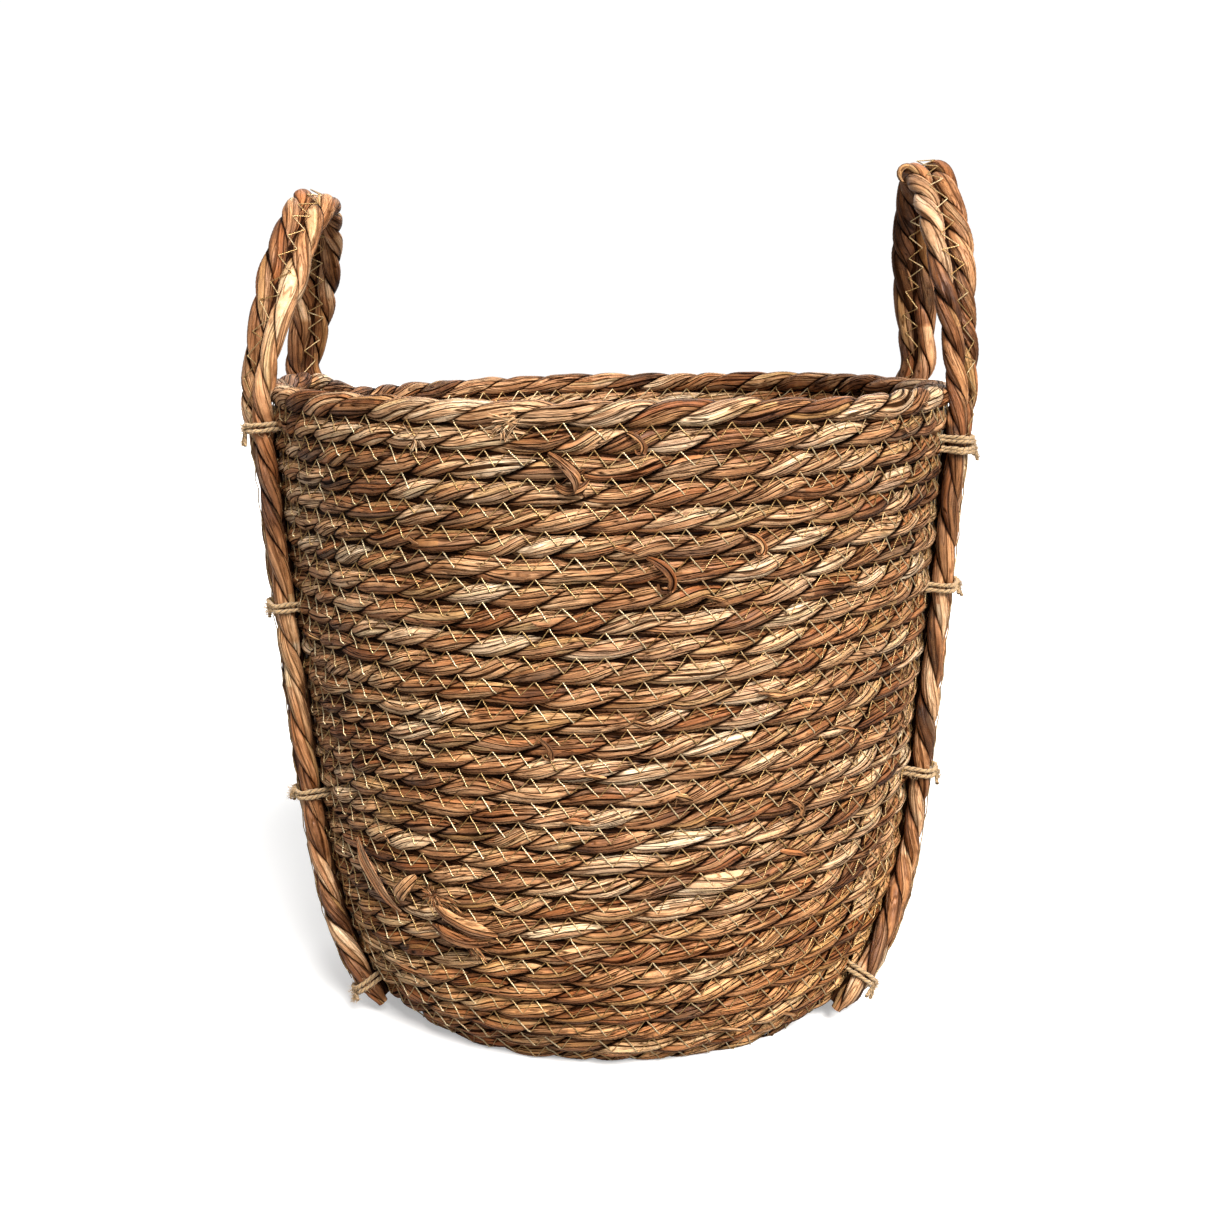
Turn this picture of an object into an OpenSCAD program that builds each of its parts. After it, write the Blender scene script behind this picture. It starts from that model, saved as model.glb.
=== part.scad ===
// Seagrass storage basket: a coiled rope basket with two strap handles.
// Millimetres, +Z up. The base rests on z = 0 and the basket's axis is the Z axis.
// -Y is the front, -X the left handle and +X the right handle.

/* [Basket rope] */
// Distance from one row of rope to the next
row_pitch = 11.75; // [11.7:0.01:11.85]
// Radius of the basket rope
row_r = 6.1; // [6.05:0.01:6.2]
// Number of rows above the base, the rim included
rim_row = 28; // [26:1:30]
// Last row of the bottom corner
corner_end = 4; // [3:1:5]
// Last row of the lower band of the wall
lower_end = 12; // [11:1:13]
// Last row of the middle band of the wall
middle_end = 20; // [20:1:21]

/* [Shape] */
// Radius of the outermost ring of the base, at the middle of the rope
base_ring_r = 121; // [110:1:130]
// Number of rings in the base, outside its centre
base_rings = 11; // [11:1:11]
// How far the rope of the base is pressed flat underneath
base_flat = 0.6; // [0.4:0.1:0.8]
// Lean of the wall from vertical, in degrees
wall_lean = 4.56; // [4:0.02:5]
// Extra lean at the bottom corner, in degrees
corner_lean = 43.1; // [40:0.1:45]
// Number of rows over which the corner's lean dies away
corner_rows = 2.7; // [2.5:0.1:2.9]

/* [Sewing thread] */
// Radius of the thread's ring in each groove
thread_r = 0.7; // [0.5:0.1:0.8]

/* [Handle straps] */
// Radius of each of the two ropes of a strap
strap_r = 6; // [5.5:0.1:6.2]
// Gap between the two ropes, and between the strap and the wall
rope_gap = 0.3; // [0.2:0.05:0.4]
// Row at which a leg ends, at the bottom edge of the wall
leg_end_row = 1.1; // [1.1:0.1:2]
// Angle of the left front leg from the handle's side of the basket
left_front_angle = 17.5; // [15:0.5:22]
// Angle of the left back leg
left_back_angle = 22; // [18:0.5:24]
// Angle of the right front leg
right_front_angle = 16; // [15:0.5:22]
// Angle of the right back leg
right_back_angle = 21; // [18:0.5:24]
// How much further the left legs swing round the basket at their feet, in degrees
left_foot_swing = 8; // [0:1:10]
// How much further the right legs swing
right_foot_swing = 18; // [0:1:18]
// Height of the left arch above its bending line, at the middle of the rope
left_arch_h = 90; // [80:1:110]
// Height of the right arch above its bending line
right_arch_h = 100; // [80:1:110]
// Lean of the left arch over the basket's mouth, in degrees
left_arch_lean = 14.5; // [0:0.5:16]
// Lean of the right arch over the basket's mouth
right_arch_lean = 5.5; // [0:0.5:16]
// How much the arch narrows towards its top, 1 for half an ellipse
arch_taper = 1.25; // [1:0.05:1.4]
// Height of the bending line above the top of the rim
bend_h = 8; // [8:0.5:10]
// Clearance between a leg's round top and the foot of the arch
bend_gap = 0.4; // [0.3:0.05:0.6]

/* [Ties] */
// Radius of the jute twine
twine_r = 1.4; // [1.2:0.1:1.5]
// Rows at which the left legs are tied, from the rim down
left_tie_rows = [27.1, 19.3, 10.7, 2];
// Rows at which the right legs are tied
right_tie_rows = [26, 19.8, 11.3, 2.5];
// Radius of the knot on each lowest tie
knot_r = 2.4; // [2:0.1:2.8]

/* [Hidden] */
$fn = 64;

seagrass = "#a0784f";
thread_colour = "#c99a4e";
jute = "#c8a878";

left = -1;
right = 1;
front = -1;
back = 1;
// The rope that lies on the inner side of the arch runs along the outer side of each leg.
inner = 1;
outer = -1;

fit = 0.03;
base_z = row_r - base_flat;
function lean(t) = wall_lean + corner_lean * exp(-t / corner_rows);

// Middle of the rope at each row, as [radius, height], walked up from the base.
ROWS = [
  for (i = 0, p = [base_ring_r, base_z]; i <= rim_row;
       p = p + row_pitch * [sin(lean(i)), cos(lean(i))], i = i + 1) p
];
rim_top = ROWS[rim_row][1] + row_r;
bend_z = rim_top + bend_h;

// A point of the wall at row t, which may lie between two rows.
function wall_rz(t) =
  let (i = min(floor(t), rim_row - 1), f = t - i)
  ROWS[i] * (1 - f) + ROWS[i + 1] * f;
function wall_lean_at(t) = lean(t - 0.5);
// Middle line of a strap that lies on the wall.
strap_off = row_r + rope_gap + strap_r;
function strap_rz(t) =
  wall_rz(t) + strap_off * [cos(wall_lean_at(t)), -sin(wall_lean_at(t))];
strap_half = strap_r + rope_gap / 2;
strap_rim_r = strap_rz(rim_row)[0];

function smooth(x) = let (c = min(max(x, 0), 1)) c * c * (3 - 2 * c);
// Angle of a leg at row t. Below swing_rows it swings away from the handle's middle.
swing_rows = 8;
function rim_angle(side, end) =
  side == left
    ? (end == front ? left_front_angle : left_back_angle)
    : (end == front ? right_front_angle : right_back_angle);
function leg_angle(side, end, t) =
  rim_angle(side, end)
  + (side == left ? left_foot_swing : right_foot_swing) * smooth(1 - t / swing_rows);
function leg_azimuth(side, end, t) =
  let (a = leg_angle(side, end, t)) atan2(end * sin(a), side * cos(a));
function leg_mid(side, end, t) =
  let (s = strap_rz(t), a = leg_azimuth(side, end, t)) [s[0] * cos(a), s[0] * sin(a), s[1]];

// The bending line of a handle runs along Y at this X.
function bend_x(side) =
  let (a = (rim_angle(side, front) + rim_angle(side, back)) / 2)
  strap_rim_r * cos(a) + 1;
function bend_y(side, end) = end * strap_rim_r * sin(rim_angle(side, end));

// ---- swept ropes ----
function unit(v) = v / norm(v);
function tangent(p, i) =
  unit(p[min(i + 1, len(p) - 1)] - p[max(i - 1, 0)]);
function ring(c, t, up, r, n) =
  let (e1 = unit(up - (up * t) * t), e2 = cross(t, e1))
  [for (k = [0:n - 1]) c + r * (cos(360 * k / n) * e1 + sin(360 * k / n) * e2)];

// A closed tube along points p with radius r[i] at each; up is never along the path.
module tube(p, r, up, n) {
  last = len(p) - 1;
  rings = [for (i = [0:last]) each ring(p[i], tangent(p, i), up, r[i], n)];
  sides = [
    for (i = [0:last - 1], k = [0:n - 1])
      let (a = i * n + k, b = i * n + (k + 1) % n)
      each [[a, a + n, b], [b, a + n, b + n]]
  ];
  start_cap = [[for (k = [0:n - 1]) k]];
  end_cap = [[for (k = [n - 1:-1:0]) last * n + k]];
  polyhedron(points = rings, faces = concat(start_cap, sides, end_cap));
}

rope_sides = 10;
thread_sides = 6;
dome = [0, 25, 50, 72];
leg_steps = 22;
function leg_row(k) = leg_end_row + (rim_row - leg_end_row) * k / leg_steps;

// ---- legs ----
// Directions of a leg at row t: up the leg, out of the wall, and away from the handle's middle.
function leg_up(side, end, t) =
  unit(leg_mid(side, end, t + 0.1) - leg_mid(side, end, t - 0.1));
function leg_normal(side, end, t) =
  let (a = leg_azimuth(side, end, t), l = wall_lean_at(t))
  [cos(l) * cos(a), cos(l) * sin(a), -sin(l)];
function leg_across(side, end, t) =
  side * end * unit(cross(leg_up(side, end, t), leg_normal(side, end, t)));
function leg_point(side, end, t, along, out) =
  leg_mid(side, end, t)
  + along * leg_across(side, end, t)
  + out * leg_normal(side, end, t);
// How far a leg slopes from straight up the wall.
function leg_slope(side, end, t) =
  let (a = leg_azimuth(side, end, t)) asin(leg_up(side, end, t) * [-sin(a), cos(a), 0]);

module leg_rope(side, end, which) {
  up = leg_across(side, end, rim_row - 1);
  foot = leg_point(side, end, leg_end_row, which * strap_half, 0);
  next = leg_point(side, end, leg_end_row + 0.3, which * strap_half, 0);
  down = unit(foot - next);
  top = [side * bend_x(side), bend_y(side, end) + end * which * strap_half, bend_z];
  foot_dome = [for (i = [len(dome) - 1:-1:1]) foot + down * strap_r * sin(dome[i])];
  wall_part = [
    for (k = [0:leg_steps]) leg_point(side, end, leg_row(k), which * strap_half, 0)
  ];
  below = top - [0, 0, 4];
  top_dome = [for (a = dome) top + [0, 0, strap_r * sin(a)]];
  points = concat(foot_dome, wall_part, [below], top_dome);
  radii = concat(
    [for (i = [len(dome) - 1:-1:1]) strap_r * cos(dome[i])],
    [for (q = wall_part) strap_r],
    [strap_r],
    [for (a = dome) strap_r * cos(a)]
  );
  tube(points, radii, up, rope_sides);
}

// The thread lies in the groove between two ropes.
groove_out = sqrt(pow(strap_r + thread_r + fit, 2) - pow(strap_half, 2));
module leg_thread(side, end) {
  points = [
    for (k = [0:leg_steps - 1]) leg_point(side, end, leg_row(k), 0, groove_out)
  ];
  tube(points, [for (q = points) thread_r], leg_across(side, end, rim_row - 1), thread_sides);
}

// ---- arches ----
foot_h = strap_r + bend_gap;
arch_foot = 10;
arch_step = 6;
twist_end = 40;
function arch_h(side) = side == left ? left_arch_h : right_arch_h;
function arch_lean(side) = side == left ? left_arch_lean : right_arch_lean;

// Middle line of the strap in the arch's own plane, as [along Y, up]; a runs from 0 to 180.
function arch_yw(side, a) =
  let (
    y0 = (bend_y(side, front) + bend_y(side, back)) / 2,
    half = (bend_y(side, back) - bend_y(side, front)) / 2,
    c = cos(a)
  )
  [y0 - half * sign(c) * pow(abs(c), arch_taper),
   arch_foot + (arch_h(side) - arch_foot) * sin(a)];
function arch_turn(a) = 90 * smooth(min(a, 180 - a) / twist_end);
// Outward normal of the arch's curve, in the same plane.
function arch_normal(side, a) =
  a < 1 ? [-1, 0] : a > 179 ? [1, 0]
  : let (d = arch_yw(side, a + 0.5) - arch_yw(side, a - 0.5)) unit([-d[1], d[0]]);

// A point in the arch's frame: across the strap by `wide`, out of its face by `face`.
function arch_local(side, a, wide, face) =
  let (
    m = arch_yw(side, a),
    n = arch_normal(side, a),
    k = arch_turn(a)
  )
  [-side * (wide * sin(k) - face * cos(k)),
   m[0] + n[0] * (wide * cos(k) + face * sin(k)),
   m[1] + n[1] * (wide * cos(k) + face * sin(k))];
function place_arch(side, q) =
  let (l = side * arch_lean(side))
  [side * bend_x(side) + q[0] * cos(l) - q[2] * sin(l),
   q[1],
   bend_z + q[0] * sin(l) + q[2] * cos(l)];
arch_angles = [for (a = [0:arch_step:180]) a];
function arch_path(side, wide, face) =
  let (
    first = arch_local(side, 0, wide, face),
    last = arch_local(side, 180, wide, face)
  )
  [
    for (q = concat(
      [[first[0], first[1], foot_h]],
      [for (a = arch_angles) arch_local(side, a, wide, face)],
      [[last[0], last[1], foot_h]]
    )) place_arch(side, q)
  ];

module arch_rope(side, which) {
  points = arch_path(side, which * strap_half, 0);
  tube(points, [for (q = points) strap_r], [1, 0, 0], rope_sides);
}
module arch_thread(side) {
  for (face = [-groove_out, groove_out]) {
    points = arch_path(side, 0, face);
    tube(points, [for (q = points) thread_r], [1, 0, 0], thread_sides);
  }
}

// ---- ties ----
loop_r = strap_r + rope_gap + twine_r;
loop_side = strap_half + loop_r;
loop_in = strap_off + row_r + twine_r + 0.9;
loop_corner = 3;
module bend(r, from) {
  rotate([0, 0, from]) rotate_extrude(angle = 90) translate([r, 0]) circle(r = twine_r);
}
// One turn of twine round the strap and through the wall.
module turn() {
  translate([loop_r, strap_half, 0]) rotate([90, 0, 0]) cylinder(r = twine_r, h = 2 * strap_half);
  translate([0, strap_half, 0]) bend(loop_r, 0);
  translate([0, -strap_half, 0]) bend(loop_r, -90);
  for (y = [-loop_side, loop_side]) {
    translate([0, y, 0]) rotate([0, -90, 0]) cylinder(r = twine_r, h = loop_in - loop_corner);
  }
  translate([-loop_in + loop_corner, loop_side - loop_corner, 0]) bend(loop_corner, 90);
  translate([-loop_in + loop_corner, -loop_side + loop_corner, 0]) bend(loop_corner, 180);
  translate([-loop_in, loop_side - loop_corner, 0]) {
    rotate([90, 0, 0]) cylinder(r = twine_r, h = 2 * (loop_side - loop_corner));
  }
}
module tie(side, end, i) {
  t = (side == left ? left_tie_rows : right_tie_rows)[i];
  s = strap_rz(t);
  double = side == right && end == front && i == 0;
  color(jute) {
    rotate([0, 0, leg_azimuth(side, end, t)]) translate([s[0], 0, s[1]])
      rotate([0, wall_lean_at(t), 0]) rotate([-leg_slope(side, end, t), 0, 0]) {
      for (z = double ? [-1.5, 1.5] : [0]) translate([0, 0, z]) turn();
      if (i == len(left_tie_rows) - 1) translate([loop_r, 0, 0]) sphere(r = knot_r);
    }
  }
}

// ---- coiled rope ----
module row_circle(p) {
  translate(p) circle(r = row_r);
}
module thread_section() {
  circle(r = thread_r, $fn = thread_sides);
}
module base_coil() {
  ring_step = base_ring_r / base_rings;
  color(seagrass) rotate_extrude() intersection() {
    translate([0, 0]) square([base_ring_r + 2 * row_r, 2 * row_r]);
    union() {
      for (i = [0:base_rings]) row_circle([i * ring_step, base_z]);
    }
  }
}
module wall_rows(from, to) {
  color(seagrass) rotate_extrude() {
    for (i = [from:to]) row_circle(ROWS[i]);
  }
}
module corner_coil() wall_rows(1, corner_end);
module lower_wall_coil() wall_rows(corner_end + 1, lower_end);
module middle_wall_coil() wall_rows(lower_end + 1, middle_end);
module upper_wall_coil() wall_rows(middle_end + 1, rim_row - 1);
module rim_coil() {
  color(seagrass) rotate_extrude() row_circle(ROWS[rim_row]);
}
// Rings of thread in the grooves on the upper side of the base.
module base_stitching() {
  ring_step = base_ring_r / base_rings;
  up = sqrt(pow(row_r + thread_r + fit, 2) - pow(ring_step / 2, 2));
  color(thread_colour) {
    for (i = [1:base_rings - 1]) {
      rotate_extrude() translate([(i + 0.5) * ring_step, base_z + up]) thread_section();
    }
  }
}
// Rings of thread in the grooves on the outer side of the wall.
module wall_stitching() {
  out = sqrt(pow(row_r + thread_r + fit, 2) - pow(row_pitch / 2, 2));
  color(thread_colour) {
    for (i = [0:rim_row - 1]) {
      p = (ROWS[i] + ROWS[i + 1]) / 2 + out * [cos(lean(i)), -sin(lean(i))];
      rotate_extrude() translate(p) thread_section();
    }
  }
}

module left_front_leg_inner_rope() color(seagrass) leg_rope(left, front, inner);
module left_front_leg_outer_rope() color(seagrass) leg_rope(left, front, outer);
module left_front_leg_stitching() color(thread_colour) leg_thread(left, front);
module left_back_leg_inner_rope() color(seagrass) leg_rope(left, back, inner);
module left_back_leg_outer_rope() color(seagrass) leg_rope(left, back, outer);
module left_back_leg_stitching() color(thread_colour) leg_thread(left, back);
module right_front_leg_inner_rope() color(seagrass) leg_rope(right, front, inner);
module right_front_leg_outer_rope() color(seagrass) leg_rope(right, front, outer);
module right_front_leg_stitching() color(thread_colour) leg_thread(right, front);
module right_back_leg_inner_rope() color(seagrass) leg_rope(right, back, inner);
module right_back_leg_outer_rope() color(seagrass) leg_rope(right, back, outer);
module right_back_leg_stitching() color(thread_colour) leg_thread(right, back);
module left_arch_inner_rope() color(seagrass) arch_rope(left, inner);
module left_arch_outer_rope() color(seagrass) arch_rope(left, outer);
module left_arch_stitching() color(thread_colour) arch_thread(left);
module right_arch_inner_rope() color(seagrass) arch_rope(right, inner);
module right_arch_outer_rope() color(seagrass) arch_rope(right, outer);
module right_arch_stitching() color(thread_colour) arch_thread(right);

base_coil();
corner_coil();
lower_wall_coil();
middle_wall_coil();
upper_wall_coil();
rim_coil();
base_stitching();
wall_stitching();
left_front_leg_inner_rope();
left_front_leg_outer_rope();
left_front_leg_stitching();
left_back_leg_inner_rope();
left_back_leg_outer_rope();
left_back_leg_stitching();
right_front_leg_inner_rope();
right_front_leg_outer_rope();
right_front_leg_stitching();
right_back_leg_inner_rope();
right_back_leg_outer_rope();
right_back_leg_stitching();
left_arch_inner_rope();
left_arch_outer_rope();
left_arch_stitching();
right_arch_inner_rope();
right_arch_outer_rope();
right_arch_stitching();
tie(left, front, 0);  // left_front_tie_1
tie(left, front, 1);  // left_front_tie_2
tie(left, front, 2);  // left_front_tie_3
tie(left, front, 3);  // left_front_tie_4
tie(left, back, 0);  // left_back_tie_1
tie(left, back, 1);  // left_back_tie_2
tie(left, back, 2);  // left_back_tie_3
tie(left, back, 3);  // left_back_tie_4
tie(right, front, 0);  // right_front_tie_1
tie(right, front, 1);  // right_front_tie_2
tie(right, front, 2);  // right_front_tie_3
tie(right, front, 3);  // right_front_tie_4
tie(right, back, 0);  // right_back_tie_1
tie(right, back, 1);  // right_back_tie_2
tie(right, back, 2);  // right_back_tie_3
tie(right, back, 3);  // right_back_tie_4
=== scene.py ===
"""Seagrass storage basket: the looks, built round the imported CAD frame.

Lengths are in millimetres until a mesh is made.
"""
import math

import bpy
import numpy as np
from mathutils import Matrix, Vector


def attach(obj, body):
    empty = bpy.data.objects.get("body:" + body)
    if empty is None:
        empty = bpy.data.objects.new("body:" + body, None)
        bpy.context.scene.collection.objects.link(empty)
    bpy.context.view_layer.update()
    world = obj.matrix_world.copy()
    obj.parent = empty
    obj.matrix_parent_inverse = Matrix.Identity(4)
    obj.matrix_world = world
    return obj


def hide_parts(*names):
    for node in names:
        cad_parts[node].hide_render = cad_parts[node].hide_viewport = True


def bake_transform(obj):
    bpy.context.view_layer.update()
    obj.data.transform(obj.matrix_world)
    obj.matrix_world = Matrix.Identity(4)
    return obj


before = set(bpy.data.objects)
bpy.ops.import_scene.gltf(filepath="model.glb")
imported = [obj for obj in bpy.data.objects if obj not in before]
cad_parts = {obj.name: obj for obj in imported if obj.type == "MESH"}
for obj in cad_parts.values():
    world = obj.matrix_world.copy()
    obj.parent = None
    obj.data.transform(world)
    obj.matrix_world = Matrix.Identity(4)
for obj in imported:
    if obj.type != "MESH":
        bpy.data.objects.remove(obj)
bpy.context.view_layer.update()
MM = 0.001

# ---------------------------------------------------------------- the CAD model's dimensions
# from row to row, radius of a row, and the number of the rim's row; row 0 is the base's outer ring
PITCH, ROW_R, RIM_ROW = 11.75, 6.1, 28
BASE_R, RINGS, BASE_Z = 121.0, 11, 5.5
# a strap's two ropes lie side by side on the wall
STRAP_R, GAP = 6.0, 0.3
STRAP_HALF = STRAP_R + GAP / 2
STRAP_OFF = ROW_R + GAP + STRAP_R
# degrees round the rim from a handle's middle to each leg, and how much further round its foot
# stands, which it reaches over the lowest SWING_ROWS rows
LEGS = {("left", "front"): 17.5, ("left", "back"): 22.0, ("right", "front"): 16.0, ("right", "back"): 21.0}
FOOT_SWING = {"left": 8.0, "right": 18.0}
SWING_ROWS = 8.0
# rows at which the ties stand, from the rim down
TIE_ROWS = {"left": (27.1, 19.3, 10.7, 2.0), "right": (26.0, 19.8, 11.3, 2.5)}
# height of each arch above the line on which it bends, and the degrees by which it leans in
ARCH_H = {"left": 90.0, "right": 100.0}
ARCH_LEAN = {"left": 14.5, "right": 5.5}
SIDE = {"left": -1.0, "right": 1.0}
END = {"front": -1.0, "back": 1.0}


def lean(t):
    """Degrees by which the wall leans out between row t and the next."""
    return 4.56 + 43.1 * np.exp(-np.asarray(t, float) / 2.7)


ROWS = [(BASE_R, BASE_Z)]
for i in range(RIM_ROW + 2):
    a = math.radians(lean(i))
    ROWS.append((ROWS[-1][0] + PITCH * math.sin(a), ROWS[-1][1] + PITCH * math.cos(a)))
ROWS = np.array(ROWS)
RIM_TOP = ROWS[RIM_ROW][1] + ROW_R
# height of the line on which the handles bend
BEND_Z = RIM_TOP + 8.0


# ---------------------------------------------------------------- small tools
def unit(v):
    return v / np.maximum(np.linalg.norm(v, axis=-1, keepdims=True), 1e-9)


def smooth(x):
    x = np.clip(x, 0.0, 1.0)
    return x * x * (3 - 2 * x)


def noise(s, wave, seed):
    """Smooth noise of about -1 to 1 along s, with features about wave long."""
    rng = np.random.default_rng(seed)
    out = np.zeros_like(np.asarray(s, float))
    for _ in range(4):
        out = out + np.sin(2 * np.pi * (s / (wave * rng.uniform(0.6, 1.7)) + rng.random()))
    return out / 2.2


def grid_faces(n, m, wrap=False):
    """Quads of an n by m grid of vertices; wrap joins the last column to the first."""
    i = np.arange(n - 1)[:, None] * m
    j = np.arange(m if wrap else m - 1)[None, :]
    k = (j + 1) % m
    return np.stack([i + j, i + m + j, i + m + k, i + k], -1).reshape(-1, 4)


def mesh(name, verts, faces, material, **attributes):
    """A smooth mesh of quads; verts in millimetres, attributes one vector per vertex."""
    me = bpy.data.meshes.new(name)
    me.vertices.add(len(verts))
    me.vertices.foreach_set("co", (np.asarray(verts, np.float32) * MM).ravel())
    me.loops.add(faces.size)
    me.loops.foreach_set("vertex_index", faces.astype(np.int32).ravel())
    me.polygons.add(len(faces))
    me.polygons.foreach_set("loop_start", np.arange(0, faces.size, 4, dtype=np.int32))
    me.polygons.foreach_set("use_smooth", np.ones(len(faces), bool))
    for key, value in attributes.items():
        a = me.attributes.new(key, "FLOAT_VECTOR", "POINT")
        a.data.foreach_set("vector", np.asarray(value, np.float32).ravel())
    me.update(calc_edges=True)
    me.materials.append(material)
    o = bpy.data.objects.new(name, me)
    bpy.context.scene.collection.objects.link(o)
    return o


class Parts:
    """Vertices, faces and attributes of many pieces, gathered into one mesh."""

    def __init__(self):
        self.v, self.f, self.leaf, self.look, self.n = [], [], [], [], 0

    def add(self, verts, faces, leaf, look):
        verts = verts.reshape(-1, 3)
        self.v.append(verts)
        self.f.append(faces + self.n)
        self.leaf.append(np.broadcast_to(leaf, verts.shape) if np.ndim(leaf) == 1 else leaf.reshape(-1, 3))
        self.look.append(np.broadcast_to(look, verts.shape) if np.ndim(look) == 1 else look.reshape(-1, 3))
        self.n += len(verts)

    def make(self, name, material):
        cat = np.concatenate
        return mesh(name, cat(self.v), cat(self.f), material, leaf=cat(self.leaf), look=cat(self.look))


# ---------------------------------------------------------------- materials
def new_material(name):
    m = bpy.data.materials.new(name)
    m.use_nodes = True
    m.node_tree.nodes.clear()
    return m, m.node_tree


def node(tree, kind, ins=(), **props):
    n = tree.nodes.new("ShaderNode" + kind)
    for k, v in props.items():
        setattr(n, k, v)
    for k, v in dict(ins).items():
        if isinstance(v, bpy.types.NodeSocket):
            tree.links.new(v, n.inputs[k])
        else:
            n.inputs[k].default_value = v
    return n


def calc(tree, op, *args, clamp=False):
    return node(tree, "Math", dict(enumerate(args)), operation=op, use_clamp=clamp).outputs[0]


def times(tree, *factors):
    """The product of two or more values."""
    out = factors[0]
    for value in factors[1:]:
        out = calc(tree, "MULTIPLY", out, value)
    return out


def ramp(tree, fac, stops):
    n = node(tree, "ValToRGB", {"Fac": fac})
    e = n.color_ramp.elements
    while len(e) < len(stops):
        e.new(0.5)
    for k, (pos, col) in enumerate(stops):
        e[k].position = pos
        e[k].color = (*col, 1.0)
    return n.outputs["Color"]


def step(tree, x, lo, hi, out_lo=0.0, out_hi=1.0):
    n = node(tree, "MapRange", {0: x, 1: lo, 2: hi, 3: out_lo, 4: out_hi}, interpolation_type="SMOOTHSTEP")
    return n.outputs[0]


def mix(tree, fac, a, b, blend="MIX"):
    n = node(tree, "Mix", {0: fac, 6: a, 7: b}, data_type="RGBA", blend_type=blend)
    return n.outputs[2]


def rgb(tree, red, green, blue):
    return node(tree, "CombineColor", {0: red, 1: green, 2: blue}).outputs[0]


def cloud(tree, x, y, z, detail, rough=0.5):
    """Noise at a point, about 0 to 1."""
    ins = {"Vector": xyz(tree, x, y, z), "Scale": 1.0, "Detail": detail, "Roughness": rough}
    return node(tree, "TexNoise", ins).outputs["Fac"]


def surface(tree, colour, rough, bump, distance, **fixed):
    b = node(tree, "Bump", {"Strength": 1.0, "Distance": distance, "Height": bump})
    ins = {"Base Color": colour, "Roughness": rough, "Normal": b.outputs[0], **fixed}
    p = node(tree, "BsdfPrincipled", ins)
    out = node(tree, "OutputMaterial")
    tree.links.new(p.outputs[0], out.inputs[0])


def leaf_coords(tree):
    """The three values of leaf and the three of look."""
    values = []
    for name in ("leaf", "look"):
        a = node(tree, "Attribute", attribute_name=name)
        values += node(tree, "SeparateXYZ", {0: a.outputs["Vector"]}).outputs[:]
    return values


def xyz(tree, x, y, z):
    return node(tree, "CombineXYZ", {0: x, 1: y, 2: z}).outputs[0]


# the leaves' colours, from dark to pale
STRAW = [
    (0.00, (0.045, 0.015, 0.005)),
    (0.16, (0.115, 0.040, 0.012)),
    (0.33, (0.250, 0.098, 0.034)),
    (0.50, (0.405, 0.185, 0.074)),
    (0.66, (0.555, 0.292, 0.136)),
    (0.83, (0.690, 0.425, 0.232)),
    (1.00, (0.810, 0.600, 0.395)),
]


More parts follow.
